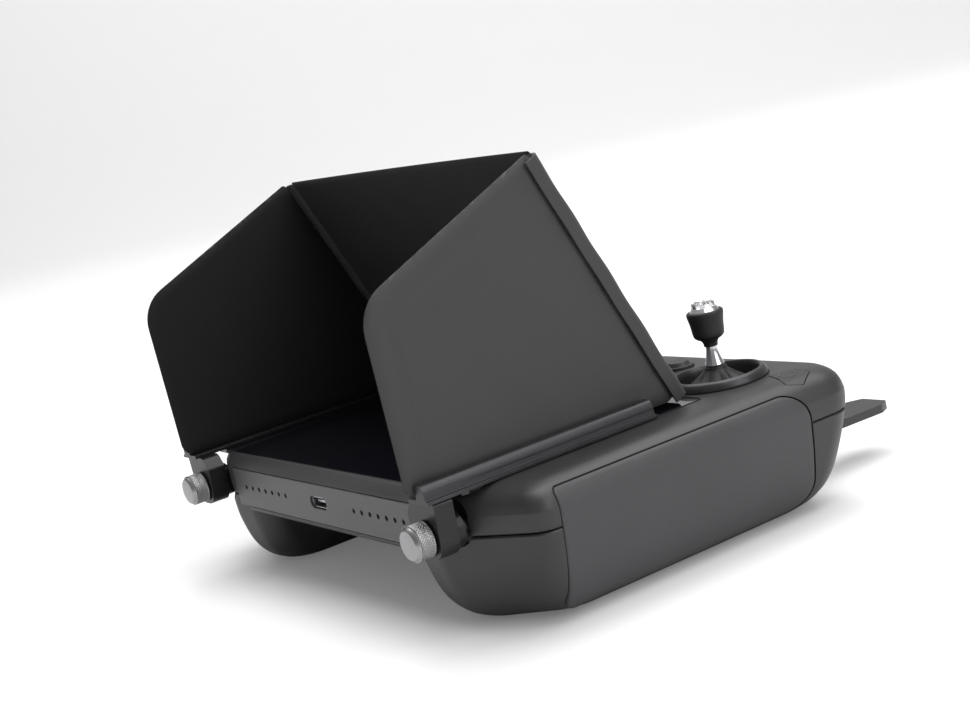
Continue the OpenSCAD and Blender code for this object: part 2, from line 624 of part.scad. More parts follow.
top_shell();
bottom_shell();
front_bezel();
right_grip_pad();
left_grip_pad();
screen_glass();
lcd_panel();
mid_frame();
main_board();
shield_cans();
battery_cells();
fan_housing();
fan_rotor();
heat_sink();
speakers();
usb_c_port();
rear_ports();
screw_plates();
right_gimbal_base();
left_gimbal_base();
right_yoke();
left_yoke();
right_stick();
left_stick();
right_stick_grip();
left_stick_grip();
right_stick_crown();
left_stick_crown();
right_boot();
left_boot();
right_gimbal_ring();
left_gimbal_ring();
confirm_button();
back_button();
power_button();
home_button();
pause_button();
mode_switch();
nav_knob();
shutter_button();
record_button();
custom_button_right();
custom_button_left();
right_dial();
left_dial();
light_pipe();
right_antenna();
left_antenna();
antenna_brackets();
antenna_pins();
hood_back_panel();
hood_right_panel();
hood_left_panel();
right_rail();
left_rail();
right_bracket();
left_bracket();
right_thumbscrew();
left_thumbscrew();
case_screws();
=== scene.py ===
import math
import bmesh
import bpy
import numpy as np
from mathutils import Matrix, Quaternion, Vector
from mathutils.bvhtree import BVHTree


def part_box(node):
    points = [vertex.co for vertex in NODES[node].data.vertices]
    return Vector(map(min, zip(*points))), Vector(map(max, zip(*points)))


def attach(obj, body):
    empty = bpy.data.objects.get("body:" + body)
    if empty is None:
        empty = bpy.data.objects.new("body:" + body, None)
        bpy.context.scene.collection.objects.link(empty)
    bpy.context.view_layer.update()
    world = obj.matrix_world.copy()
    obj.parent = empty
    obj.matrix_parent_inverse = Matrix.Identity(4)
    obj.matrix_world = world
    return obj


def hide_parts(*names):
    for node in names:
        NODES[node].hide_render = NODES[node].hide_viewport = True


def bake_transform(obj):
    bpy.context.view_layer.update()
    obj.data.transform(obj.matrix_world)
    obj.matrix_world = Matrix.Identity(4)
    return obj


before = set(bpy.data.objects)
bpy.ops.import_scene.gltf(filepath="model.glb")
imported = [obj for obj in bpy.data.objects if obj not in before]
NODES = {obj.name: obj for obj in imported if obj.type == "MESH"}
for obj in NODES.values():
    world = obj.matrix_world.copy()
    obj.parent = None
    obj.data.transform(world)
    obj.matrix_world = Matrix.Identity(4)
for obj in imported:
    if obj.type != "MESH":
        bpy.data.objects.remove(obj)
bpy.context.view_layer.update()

# ---------------------------------------------------------------- sizes, mm

LO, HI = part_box("top_shell")
HALF = HI.x * 1000                  # half of the width
TOP = HI.z * 1000                   # height of the upper face
FRONT = LO.y * 1000                 # front face, in the frame's own Y
DEPTH = (HI.y - LO.y) * 1000
SEAM = LO.z * 1000                  # joint of the two casing halves
GRIP_IN = 44.0                      # inner side of the grips
BELLY = 20.0                        # underside of the middle section


def at(x, y, z):
    """A point given in mm from the centre plane, the front face and the underside, in metres."""
    return Vector((x, y + FRONT, z)) / 1000


def mid(node):
    """Middle of a node's box, in metres."""
    lo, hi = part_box(node)
    return (lo + hi) / 2


# ---------------------------------------------------------------- mesh tools

def make(name, verts, faces, body=None, mat=None, smooth=40):
    """verts in mm (x, y from the front face, z) become a piece; edges over smooth degrees stay sharp."""
    v = np.asarray(verts, float)
    v = (v + np.array([0, FRONT, 0])) / 1000
    me = bpy.data.meshes.new(name)
    me.from_pydata([tuple(p) for p in v], [], [tuple(f) for f in faces])
    me.validate()
    ob = bpy.data.objects.new(name, me)
    bpy.context.scene.collection.objects.link(ob)
    fix_normals(ob)
    finish_mesh(ob, smooth)
    if mat:
        me.materials.append(mat)
    if body:
        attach(ob, body)
    return ob


def fix_normals(ob):
    bm = bmesh.new()
    bm.from_mesh(ob.data)
    bmesh.ops.remove_doubles(bm, verts=bm.verts, dist=1e-7)
    bmesh.ops.recalc_face_normals(bm, faces=bm.faces)
    bm.to_mesh(ob.data)
    bm.free()


def finish_mesh(ob, smooth=40):
    me = ob.data
    me.shade_smooth()
    me.set_sharp_from_angle(angle=math.radians(smooth))


def apply_modifiers(ob):
    dg = bpy.context.evaluated_depsgraph_get()
    me = bpy.data.meshes.new_from_object(ob.evaluated_get(dg))
    ob.modifiers.clear()
    ob.data = me


def cut(ob, tools, op="DIFFERENCE"):
    """Takes the tools from ob, or joins them to it, one at a time, and deletes them."""
    for t in tools:
        m = ob.modifiers.new("cut", "BOOLEAN")
        m.operation = op
        m.solver = "EXACT"
        m.object = t
        apply_modifiers(ob)
        bpy.data.objects.remove(t)


def weighted(ob):
    """Keeps the large faces flat where they meet the rounded edges."""
    m = ob.modifiers.new("normals", "WEIGHTED_NORMAL")
    m.keep_sharp = True
    m.weight = 80


def arc(a, b, c, r, n):
    """Points of an arc of radius r that rounds the corner b between a and c."""
    a, b, c = (np.array(q[:2], float) for q in (a, b, c))
    u = (a - b) / np.linalg.norm(a - b)
    v = (c - b) / np.linalg.norm(c - b)
    half = math.acos(max(-1, min(1, float(u @ v)))) / 2
    m = b + (u + v) / np.linalg.norm(u + v) * r / math.sin(half)
    s = b + u * r / math.tan(half) - m
    e = b + v * r / math.tan(half) - m
    a0 = math.atan2(s[1], s[0])
    turn = (math.atan2(e[1], e[0]) - a0 + math.pi) % (2 * math.pi) - math.pi
    return [m + r * np.array([math.cos(a0 + turn * i / n), math.sin(a0 + turn * i / n)])
            for i in range(n + 1)]


def outline(k, n=12, straight=6):
    """A closed outline through corners (x, y, r), with its straights divided."""
    arcs = [arc(k[i - 1], k[i], k[(i + 1) % len(k)], k[i][2], n) for i in range(len(k))]
    out = []
    for i, pts in enumerate(arcs):
        out += pts
        nxt = arcs[(i + 1) % len(arcs)][0]
        for j in range(1, straight):
            out.append(pts[-1] + (nxt - pts[-1]) * j / straight)
    return np.array(out)


def loft(rings, caps=True):
    """Joins rings of equal length, each an n x 3 array, into a closed skin."""
    n = len(rings[0])
    verts = np.concatenate(rings)
    faces = []
    for i in range(len(rings) - 1):
        for j in range(n):
            k = (j + 1) % n
            faces.append((i * n + j, i * n + k, (i + 1) * n + k, (i + 1) * n + j))
    if caps:
        faces.append(tuple(range(n))[::-1])
        faces.append(tuple(range((len(rings) - 1) * n, len(rings) * n)))
    return verts, faces


def flat(ring2, z):
    """A plan outline lifted to the height z."""
    return np.column_stack([ring2, np.full(len(ring2), z)])


def prism(ring2, z0, z1):
    v, f = loft([flat(ring2, z0), flat(ring2, z1)])
    return make("tool", v, f)


def circle(x, y, r, n=48):
    a = np.arange(n) * 2 * math.pi / n
    return np.column_stack([x + r * np.cos(a), y + r * np.sin(a)])


def rbox(x0, y0, x1, y1, r):
    return outline([(x0, y0, r), (x1, y0, r), (x1, y1, r), (x0, y1, r)], 5, 1)


def box_tool(lo, hi):
    plan = [(lo[0], lo[1]), (hi[0], lo[1]), (hi[0], hi[1]), (lo[0], hi[1])]
    return prism(np.array(plan, float), lo[2], hi[2])


def along_y(ring_xz, y0, y1):
    rings = [np.column_stack([ring_xz[:, 0], np.full(len(ring_xz), y), ring_xz[:, 1]]) for y in (y0, y1)]
    v, f = loft(rings)
    return make("tool", v, f)


def spline(rows, n=5):
    """Smooth curve through rows of numbers (Catmull-Rom), n steps between rows."""
    p = np.array(rows, float)
    p = np.vstack([2 * p[0] - p[1], p, 2 * p[-1] - p[-2]])
    out = []
    for i in range(1, len(p) - 2):
        for j in range(n):
            t = j / n
            out.append(0.5 * (2 * p[i] + (p[i + 1] - p[i - 1]) * t
                              + (2 * p[i - 1] - 5 * p[i] + 4 * p[i + 1] - p[i + 2]) * t ** 2
                              + (3 * p[i] - p[i - 1] - 3 * p[i + 1] + p[i + 2]) * t ** 3))
    out.append(p[-2])
    return np.array(out)


def lathe(profile, centre, n, name, **kw):
    """Closed profile of (r, z) turned about the vertical through centre (x, y, z), all mm."""
    a = np.arange(n) * 2 * math.pi / n
    m = len(profile)
    verts = [(centre[0] + r * math.cos(t), centre[1] + r * math.sin(t), centre[2] + z)
             for t in a for r, z in profile]
    faces = []
    for i in range(n):
        for j in range(m):
            k = (j + 1) % m
            ii = (i + 1) % n
            faces.append((i * m + j, ii * m + j, ii * m + k, i * m + k))
    return make(name, verts, faces, **kw)


# ---------------------------------------------------------------- materials

def nodes_of(name):
    mat = bpy.data.materials.new(name)
    mat.use_nodes = True
    nt = mat.node_tree
    nt.nodes.clear()
    out = nt.nodes.new("ShaderNodeOutputMaterial")
    bsdf = nt.nodes.new("ShaderNodeBsdfPrincipled")
    nt.links.new(bsdf.outputs[0], out.inputs[0])
    return mat, nt, bsdf


class Graph:
    """Small helper that writes shader nodes in one line each."""

    def __init__(self, name):
        self.mat, self.nt, self.bsdf = nodes_of(name)
        self.coord = self.nt.nodes.new("ShaderNodeTexCoord").outputs["Object"]

    def link(self, a, b):
        self.nt.links.new(a, b)

    def noise(self, scale, detail=4, rough=0.55, vec=None):
        n = self.nt.nodes.new("ShaderNodeTexNoise")
        n.inputs["Scale"].default_value = scale
        n.inputs["Detail"].default_value = detail
        n.inputs["Roughness"].default_value = rough
        self.link(vec or self.coord, n.inputs["Vector"])
        return n.outputs["Fac"]

    def cell_edges(self, scale):
        """Distance from the edges of small random cells."""
        n = self.nt.nodes.new("ShaderNodeTexVoronoi")
        n.feature = "DISTANCE_TO_EDGE"
        n.inputs["Scale"].default_value = scale
        self.link(self.coord, n.inputs["Vector"])
        return n.outputs["Distance"]

    def mapped(self, slot, value):
        """The piece's coordinates turned ("Rotation") or stretched ("Scale") by value."""
        n = self.nt.nodes.new("ShaderNodeMapping")
        n.inputs[slot].default_value = value
        self.link(self.coord, n.inputs["Vector"])
        return n.outputs[0]

    def wave(self, scale, turn):
        """Straight ridges, turned by the three angles of turn."""
        n = self.nt.nodes.new("ShaderNodeTexWave")
        n.inputs["Scale"].default_value = scale
        self.link(self.mapped("Rotation", turn), n.inputs["Vector"])
        return n.outputs["Fac"]

    def shade(self, base, factor):
        """The colour base times a factor that changes over the piece."""
        n = self.nt.nodes.new("ShaderNodeVectorMath")
        n.operation = "SCALE"
        n.inputs[0].default_value = base
        self.link(factor, n.inputs["Scale"])
        return n.outputs[0]

    def math(self, op, a, b):
        n = self.nt.nodes.new("ShaderNodeMath")
        n.operation = op
        for s, v in zip(n.inputs, (a, b)):
            if hasattr(v, "links"):
                self.link(v, s)
            else:
                s.default_value = v
        return n.outputs[0]

    def span(self, v, a, b, c, d):
        """Maps v from the range a to b onto the range c to d."""
        n = self.nt.nodes.new("ShaderNodeMapRange")
        n.inputs["From Min"].default_value = a
        n.inputs["From Max"].default_value = b
        n.inputs["To Min"].default_value = c
        n.inputs["To Max"].default_value = d
        self.link(v, n.inputs["Value"])
        return n.outputs[0]

    def mix(self, f, a, b):
        n = self.nt.nodes.new("ShaderNodeMix")
        n.data_type = "RGBA"
        self.link(f, n.inputs["Factor"])
        for key, v in (("A", a), ("B", b)):
            s = [i for i in n.inputs if i.name == key and i.type == "RGBA"][0]
            if hasattr(v, "links"):
                self.link(v, s)
            else:
                s.default_value = (*v, 1) if len(v) == 3 else v
        return [o for o in n.outputs if o.type == "RGBA"][0]

    def bevel(self, radius):
        """Normals that round every edge by radius, in mm."""
        n = self.nt.nodes.new("ShaderNodeBevel")
        n.samples = 4
        n.inputs["Radius"].default_value = radius / 1000
        return n.outputs[0]

    def edge_wear_and_sheen(self, radius):
        """About 1 on sharp edges and 0 elsewhere: where edges are painted paler, partly rubbed wear and
        partly a painted highlight.
        """
        g = self.nt.nodes.new("ShaderNodeNewGeometry")
        d = self.nt.nodes.new("ShaderNodeVectorMath")
        d.operation = "DOT_PRODUCT"
        self.link(g.outputs["Normal"], d.inputs[0])
        self.link(self.bevel(radius), d.inputs[1])
        return self.span(d.outputs["Value"], 0.995, 0.86, 0, 1)

    def bump(self, height, strength, dist, normal):
        """Normals that follow a height of up to dist, in mm."""
        n = self.nt.nodes.new("ShaderNodeBump")
        n.inputs["Strength"].default_value = strength
        n.inputs["Distance"].default_value = dist / 1000
        self.link(height, n.inputs["Height"])
        self.link(normal, n.inputs["Normal"])
        return n.outputs[0]

    def set(self, **kw):
        names = dict(color="Base Color", rough="Roughness", metal="Metallic", normal="Normal",
                     coat="Coat Weight", coat_rough="Coat Roughness", spec="Specular IOR Level",
                     sheen="Sheen Weight", sheen_rough="Sheen Roughness")
        for k, v in kw.items():
            s = self.bsdf.inputs[names[k]]
            if hasattr(v, "links"):
                self.link(v, s)
            else:
                s.default_value = (*v, 1) if isinstance(v, tuple) else v
        return self.mat


def tint(base, gain, lift):
    """A paler colour, for edges painted paler as rubbed wear and a painted highlight, and for raised grain.
    """
    return tuple(min(1, c * gain + lift) for c in base)


def moulded(name, base, rough=0.5, grain=2600, depth=0.02, edge=0.25, spec=0.5):
    """Moulded plastic: fine spark-eroded grain, slight patchiness, and edges painted paler, partly rubbed
    wear and partly a painted highlight.
    """
    g = Graph(name)
    fine = g.noise(grain, 2, 0.6)
    patch = g.noise(38, 5, 0.6)
    plain = g.shade(base, g.span(patch, 0.3, 0.7, 0.82, 1.18))
    # edges painted paler: partly rubbed wear, partly a painted highlight
    wear_and_sheen = g.math("MULTIPLY", g.edge_wear_and_sheen(edge * 1.6), 0.35)
    mixed = g.math("ADD", g.math("MULTIPLY", fine, 0.4), g.math("MULTIPLY", patch, 0.6))
    return g.set(color=g.mix(wear_and_sheen, plain, tint(base, 1.9, 0.015)), spec=spec,
                 rough=g.span(mixed, 0.3, 0.7, rough - 0.06, rough + 0.07),
                 normal=g.bump(fine, 0.55, depth, g.bevel(edge)))


def rubbery(name, base, rough, cell, depth):
    """Rubber with a fine leather grain of cell cells to the metre."""
    g = Graph(name)
    edge = 0.3
    crease = g.span(g.cell_edges(cell), 0.0, 0.16, 0, 1)
    fine = g.noise(cell * 2.4, 2)
    patch = g.noise(30, 5, 0.6)
    height = g.math("ADD", crease, g.math("MULTIPLY", fine, 0.35))
    plain = g.shade(base, g.span(patch, 0.3, 0.7, 0.88, 1.12))
    # edges painted paler: partly rubbed wear, partly a painted highlight
    wear_and_sheen = g.math("MULTIPLY", g.edge_wear_and_sheen(edge * 1.5), 0.25)
    return g.set(color=g.mix(wear_and_sheen, plain, tint(base, 1.8, 0.01)), spec=0.45,
                 rough=g.span(patch, 0.3, 0.7, rough - 0.05, rough + 0.06),
                 normal=g.bump(height, 0.5, depth, g.bevel(edge)))


def leatherette(name, base, rough=0.52, pitch=0.55, depth=0.06, spec=0.42):
    """Coated fabric: a fine diagonal crosshatch pressed into a soft skin, pitch in mm."""
    g = Graph(name)
    ridges = 100 * math.pi / pitch
    weave = g.math("MULTIPLY", g.wave(ridges, (0, 0, math.radians(45))),
                   g.wave(ridges, (math.radians(50), 0, math.radians(-45))))
    grain = g.noise(2400, 3, 0.6)
    patch = g.noise(22, 6, 0.62)
    height = g.math("ADD", g.math("MULTIPLY", weave, 0.8), g.math("MULTIPLY", grain, 0.6))
    plain = g.shade(base, g.span(patch, 0.3, 0.7, 0.9, 1.12))
    raised = g.span(height, 0.2, 1.1, 0.0, 0.3)
    return g.set(color=g.mix(raised, plain, tint(base, 1.5, 0.004)), spec=spec,
                 rough=g.span(patch, 0.3, 0.7, rough - 0.05, rough + 0.07), sheen=0.12, sheen_rough=0.5,
                 normal=g.bump(height, 0.6, depth, g.bevel(0.35)))


def metal(name, base, rough, brush=None, metallic=1.0):
    """Metal with a fine grain, drawn out along brush (the grain's scale on each axis) if given."""
    g = Graph(name)
    edge = 0.15
    patch = g.noise(90, 5, 0.6)
    fine = g.noise(900, 4, 0.7, g.mapped("Scale", brush)) if brush else g.noise(3500, 2)
    plain = g.shade(base, g.span(patch, 0.3, 0.7, 0.9, 1.08))
    # edges painted paler: partly rubbed wear, partly a painted highlight
    wear_and_sheen = g.math("MULTIPLY", g.edge_wear_and_sheen(edge * 1.6), 0.4)
    return g.set(color=g.mix(wear_and_sheen, plain, tint(base, 1.5, 0.05)), metal=metallic,
                 rough=g.span(g.math("ADD", patch, fine), 0.7, 1.3, rough * 0.75, rough * 1.25),
                 normal=g.bump(fine, 0.35, 0.006, g.bevel(edge)))


def glassy(name, base, rough):
    """Polished glass with faint smears."""
    g = Graph(name)
    smear = g.span(g.noise(26, 6, 0.65), 0.35, 0.75, rough, rough * 2.4)
    return g.set(color=g.mix(g.noise(8, 2), base, tint(base, 1.4, 0)), rough=smear, spec=0.5,
                 coat=0.3, coat_rough=0.02, normal=g.bevel(0.2))


MAT = dict(
    shell=moulded("shell", (0.029, 0.029, 0.0305), 0.42, 2800, 0.028),
    frame=moulded("front_frame", (0.042, 0.042, 0.044), 0.36, 3600, 0.012, spec=0.6),
    strip=moulded("front_strip", (0.07, 0.07, 0.073), 0.42, 3600, 0.012, spec=0.55),
    black=moulded("black_plastic", (0.007, 0.007, 0.0075), 0.42, 2600, 0.015),
    button=moulded("button_plastic", (0.028, 0.028, 0.0295), 0.5, 3000, 0.02, edge=0.2),
    board=moulded("solder_mask", (0.006, 0.035, 0.014), 0.35, 900, 0.02),
    cell=moulded("cell_wrap", (0.02, 0.07, 0.12), 0.35, 1500, 0.006),
    light=moulded("light_guide", (0.55, 0.6, 0.56), 0.3, 1800, 0.004),
    pad=rubbery("grip_rubber", (0.05, 0.05, 0.053), 0.46, 1500, 0.05),
    boot=rubbery("boot_rubber", (0.006, 0.006, 0.0065), 0.5, 2200, 0.02),
    stick_rubber=rubbery("stick_rubber", (0.01, 0.01, 0.011), 0.55, 2600, 0.025),
    hood=leatherette("hood_outside", (0.032, 0.032, 0.0325)),
    lining=leatherette("hood_lining", (0.004, 0.004, 0.0043), 0.62, 0.5, 0.03, 0.25),
    gunmetal=metal("dark_anodised", (0.05, 0.05, 0.053), 0.34, metallic=0.75),
    bracket=metal("bracket_coat", (0.014, 0.014, 0.015), 0.32, metallic=0.3),
    ring=metal("ring_metal", (0.045, 0.045, 0.048), 0.36, metallic=0.55),
    knob=metal("knob_aluminium", (0.34, 0.335, 0.34), 0.33),
    steel=metal("polished_steel", (0.6, 0.6, 0.62), 0.16, brush=(1, 1, 0.05)),
    crown=metal("crown_metal", (0.72, 0.72, 0.74), 0.24),
    plate=metal("port_plate", (0.55, 0.55, 0.57), 0.3, brush=(1, 0.1, 1)),
    cast=metal("cast_metal", (0.3, 0.3, 0.31), 0.5),
    glass=glassy("cover_glass", (0.004, 0.004, 0.006), 0.035),
)

# the CAD nodes that each material covers
WORN_BY = dict(
    shell="top_shell bottom_shell right_antenna left_antenna",
    strip="front_bezel",
    black="fan_housing fan_rotor speakers antenna_brackets right_gimbal_base left_gimbal_base",
    button="confirm_button back_button power_button home_button pause_button nav_knob mode_switch "
           "shutter_button record_button custom_button_right custom_button_left right_dial left_dial",
    board="main_board",
    cell="battery_cells",
    light="light_pipe",
    pad="right_grip_pad left_grip_pad",
    boot="right_boot left_boot",
    stick_rubber="right_stick_grip left_stick_grip",
    hood="hood_back_panel hood_right_panel hood_left_panel",
    gunmetal="right_rail left_rail screw_plates",
    bracket="right_bracket left_bracket",
    ring="right_gimbal_ring left_gimbal_ring",
    knob="right_thumbscrew left_thumbscrew",
    steel="right_stick left_stick antenna_pins case_screws",
    crown="right_stick_crown left_stick_crown",
    plate="shield_cans usb_c_port rear_ports",
    cast="mid_frame heat_sink right_yoke left_yoke",
    glass="screen_glass lcd_panel",
)
for key, nodes in WORN_BY.items():
    for node in nodes.split():
        mesh = NODES[node].data
        mesh.materials.clear()
        mesh.materials.append(MAT[key])

# ---------------------------------------------------------------- casing

SLOPE_X, SLOPE_Y = 60, 14           # the front face slopes back by SLOPE_Y between SLOPE_X and the side
BEND_R, FRONT_R, REAR_R = 12, 7, 10.6
WALL = 3.8
STICK_X = mid("right_stick").x * 1000
STICK_Y = mid("right_gimbal_ring").y * 1000 - FRONT


def mirrored(half):
    """Corners (x, y, r) of the right half, carried on over the left half."""
    return half + [(-x, y, r) for x, y, r in reversed(half)]


def body_ring(side, front, rear):
    """Outline of the casing in plan, inset at its sides, front and rear."""
    return outline(mirrored([(SLOPE_X, front, BEND_R), (HALF - side, SLOPE_Y + front + 0.4 * side, FRONT_R),
                             (HALF - side, DEPTH - rear, REAR_R - 0.3 * side)]), 16, 8)


# height, side, front and rear insets of the upper casing
UPPER = spline([(SEAM + 5, 0, 0, 0), (TOP - 4.3, 0.85, 0.2, 0.4), (TOP - 2.3, 2.4, 0.85, 1.25),
                (TOP - 0.75, 5.0, 2.1, 2.9), (TOP - 0.12, 7.6, 3.1, 4.6), (TOP, 10.2, 4.0, 6.6)], 5)
# height, outer, front, inner and rear insets, rear radius and front radius of the grips
LOWER = spline([(SEAM, 0.4, 0.4, 0, 0.4, REAR_R, 6.5), (17.5, 1.5, 0.9, 0.5, 2.9, 10.8, 7),
                (9, 3.5, 3.1, 1.6, 6.2, 11, 9), (4, 6.6, 6.3, 3, 9.2, 11.4, 10),
                (1.3, 10.4, 10.2, 5, 12.8, 11.6, 11), (0.15, 14, 14, 7.4, 16.4, 11.4, 11),
                (0, 17, 17, 9, 19, 11, 11)], 6)


def skin_at(z):
    """Side inset, rear inset and rear corner radius of the outer skin at height z (arrays)."""
    z = np.asarray(z, float)
    low = np.array([(p[0], p[1], p[4], p[5]) for p in LOWER])[::-1]
    middle = np.array([(SEAM + 0.01, 0.4, 0.4, REAR_R), (28, 0.12, 0.12, REAR_R)])
    up = np.array([(p[0], p[1], p[3], REAR_R - 0.3 * p[1]) for p in UPPER])
    rows = np.vstack([low, middle, up])
    rising = np.concatenate([[True], np.diff(rows[:, 0]) > 1e-6])
    rows = rows[rising]
    return [np.interp(z, rows[:, 0], rows[:, i]) for i in (1, 2, 3)]


def skin_x(y, z):
    """X of the casing's outer side at y, z."""
    side, rear, radius = skin_at(z)
    past = np.clip(np.asarray(y) - (DEPTH - rear - radius), 0, None)
    return HALF - side - radius + np.sqrt(np.clip(radius ** 2 - past ** 2, 0, None))


def casing_rings():
    """Plan outlines of the upper casing, from the seam up."""
    rings = [flat(body_ring(d, d, d), z) for d, z in ((0.8, SEAM + 0.02), (0.42, SEAM + 0.4), (0.12, 28))]
    return rings + [flat(body_ring(p[1], p[2], p[3]), p[0]) for p in UPPER]


def grip_ring(row, d=0.0):
    """Outline of the right grip in plan from a row of LOWER, inset by d."""
    outer, front, inner, rear, rear_r, front_r = row[1:]
    x0, x1 = GRIP_IN + inner + d, HALF - outer - d
    y0, y1 = front + d, DEPTH - rear - d
    inner_r = max(8 - d, 2)
    front_r -= d * 0.5
    return outline([(x0, 1.5 + y0, inner_r), (SLOPE_X, y0, front_r), (x1, SLOPE_Y + y0, front_r),
                    (x1, y1, rear_r - d), (x0, y1, inner_r)], 14, 6)


def flip(v, s):
    """Points with x turned to the side s (1 right, -1 left)."""
    v = np.array(v, float)
    v[:, 0] *= s
    return v


def side_patch(inset, depths, s, name, steps, back=0.0, back_x=None, **kw):
    """Closed patch of the side skin inside the pad's window. depths: rows of (inset from the window's
    edge, offset from the skin); the far face lies back from the skin, or flat at back_x."""
    y0, y1, z0, z1 = 19.5 + inset, 102.3 - inset, 1.6 + inset, 35.0 - inset
    rim = [(y0, z0, 5 - inset), (y1, z0, 8 - inset), (y1, z1, 9 - inset), (y0, z1, 1.7)]
    base = outline(rim, 14, 22)
    half = (z1 - z0) / 2
    axis = np.column_stack([np.clip(base[:, 0], y0 + half, y1 - half), np.full(len(base), (z0 + z1) / 2)])
    reach = np.linalg.norm(base - axis, axis=1)[:, None]

    def ring(d, off):
        p = base + (axis - base) * np.clip(d / reach, 0, 0.97)
        return np.column_stack([skin_x(p[:, 0], p[:, 1]) + off, p])

    last_d, last_off = depths[-1]
    rings = [ring(d, off) for d, off in depths]
    rings += [ring(last_d + (half - last_d) * i / steps, last_off) for i in range(1, steps + 1)]
    if back_x:
        start = [np.column_stack([np.full(len(base), back_x), base])]
    else:
        start = [ring(half * (1 - i / 8) if i else half, back) for i in range(9)]
    v, f = loft([flip(r, s) for r in start + rings])
    return make(name, v, f, **kw)


def pad_recess(s):
    """Tool that cuts the seat of the grip pad."""
    return side_patch(-0.16, [(0.0, -1.75)], s, "tool", 20, back_x=110)


def screw_seat(s):
    """Tool that cuts the flat seat of the thumbscrew's bracket into the sloping front."""
    w, h, r = 13.8 / 2, 12.4 / 2, 4.4
    ring = outline([(-w, -h, r), (w, -h, r), (w, h, r), (-w, h, r)], 12, 2)
    slope = math.atan2(SLOPE_Y, HALF - SLOPE_X)
    rows = []
    for depth in (-3, 5.8):
        along = r + ring[:, 0]
        x = SLOPE_X + along * math.cos(slope) - depth * math.sin(slope)
        y = along * math.sin(slope) + depth * math.cos(slope)
        rows.append(flip(np.column_stack([x, y, TOP - 8.3 + ring[:, 1]]), s))
    v, f = loft(rows)
    return make("tool", v, f)


def dial_pocket(s, r, half):
    """Tool of radius r about the axis of the dial on side s, half above and below its middle."""
    c = mid("right_dial" if s > 0 else "left_dial") * 1000
    return prism(circle(c.x, c.y - FRONT, r), c.z - half, c.z + half)


PENTAGON = np.array([(-6.2, -1.8), (4, -5.6), (5.8, -1.2), (2.4, 4.8), (-3.4, 5.4)]) + (80.2, 105)
DIAL_LO, DIAL_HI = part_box("right_dial")
DIAL_R = (DIAL_HI.x - DIAL_LO.x) * 500


def grow(poly, d, r):
    """Offsets a convex polygon outwards by d and rounds its corners by r."""
    centre = poly.mean(0)
    sides = []
    for a, b in zip(poly, np.roll(poly, -1, axis=0)):
        along = (b - a) / np.linalg.norm(b - a)
        out = np.array([along[1], -along[0]])
        if (a - centre) @ out < 0:
            out = -out
        sides.append((a + out * d, along))
    corners = []
    for i in range(len(sides)):
        (p, t), (q, u) = sides[i - 1], sides[i]
        k = np.linalg.solve(np.column_stack([t, -u]), q - p)
        corners.append((*(p + t * k[0]), r))
    return outline(corners, 5, 1)


def finish_casing(ob, node, *keys):
    finish_mesh(ob, 32)
    ob.data.materials.clear()
    for key in keys:
        ob.data.materials.append(MAT[key])
    weighted(ob)
    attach(ob, "body")
    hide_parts(node)


BEZEL_X = 54.2                      # half of the gap for the front strip
ROUND = [(-33, 106, 5.2), (-22, 96, 5.2), (22, 96, 5.2), (33, 106, 4.7)]    # button holes: x, y, r
PORTS = [(-22, -6.4, 27.3, 33), (-3.4, 9, 29.2, 31), (11, 24.6, 27.2, 33)]  # rear openings: x, x, z, z


def top_openings():
    """Tools for the hollow and every opening of the upper casing."""
    w, through = HALF - WALL, (30, 40)
    inner = outline(mirrored([(SLOPE_X, WALL, BEND_R), (w, 17.2, FRONT_R), (w, DEPTH - WALL, 6.8)]), 10, 2)
    tools = [prism(inner, SEAM - 1, TOP - 2.5),
             prism(rbox(-71.7, 3.75, 71.7, 82.2, 2.6), TOP - 1, TOP + 2),
             box_tool((-64, 8, TOP - 4), (64, 79, TOP)),
             box_tool((-BEZEL_X, -5, SEAM - 1), (BEZEL_X, 3, TOP - 3.5)),
             box_tool((-52, 0, SEAM - 1), (52, 6, TOP - 5))]
    tools += [box_tool((x0, 116, z0), (x1, 125, z1)) for x0, x1, z0, z1 in PORTS]
    tools += [prism(rbox(-7.3, 96.6, 7.3, 103.4, 3), *through)]
    tools += [prism(circle(x, y, r), *through) for x, y, r in ROUND]
    tools += [prism(circle(i * 5, 112, 0.9, 20), *through) for i in (-1.5, -0.5, 0.5, 1.5)]
    tools += [box_tool((-9, 114.6, 30), (9, 115.8, 40))]
    for s in (1, -1):
        tools += [prism(circle(s * STICK_X, STICK_Y, 12.7, 96), 30, 42),
                  prism(flip(grow(PENTAGON, 0.22, 0.7), s), *through), screw_seat(s), pad_recess(s),
                  along_y(circle(s * 66, 30.3, 3.4), 113, 125)]
        for x in range(27, 48, 4):
            x0, x1 = sorted((s * x, s * (x + 2)))
            tools.append(box_tool((x0, 116, 28), (x1, 125, 33)))
    return tools


def build_top():
    v, f = loft(casing_rings())
    top = make("casing_top", v, f)
    cut(top, top_openings())
    finish_casing(top, "top_shell", "shell", "frame")
    # the narrow border in front of the screen is smoother and a little paler
    for p in top.data.polygons:
        c = p.center * 1000
        if abs(c.x) < 56.5 and c.y - FRONT < 4.3 and c.z > TOP - 4.5:
            p.material_index = 1


def middle_and_grips():
    """The solid lower casing: a tray between two grips."""
    rim = SEAM - 0.2
    rows = [(BELLY, 2.2), (BELLY + 0.5, 1.1), (BELLY + 1.6, 0.4), (rim - 0.4, 0.42), (rim, 0.8)]
    rings = [flat(outline(mirrored([(49.6, d, 0.2), (49.6, 112, 0.2)]), 3, 20), z) for z, d in rows]
    v, f = loft(rings)
    base = make("casing_bottom", v, f)
    edge = [(rim, 0.8, 0.8, 0, 0.8, 10.2, 6.5), (rim - 0.4, 0.42, 0.42, 0, 0.45, 10.6, 6.5)]
    grips = []
    for s in (1, -1):
        low = edge + [tuple(p) for p in LOWER if p[0] < rim - 0.8]
        v, f = loft([flip(flat(grip_ring(p), p[0]), s) for p in low])
        grips.append(make("tool", v, f))
    cut(base, grips, "UNION")
    return base


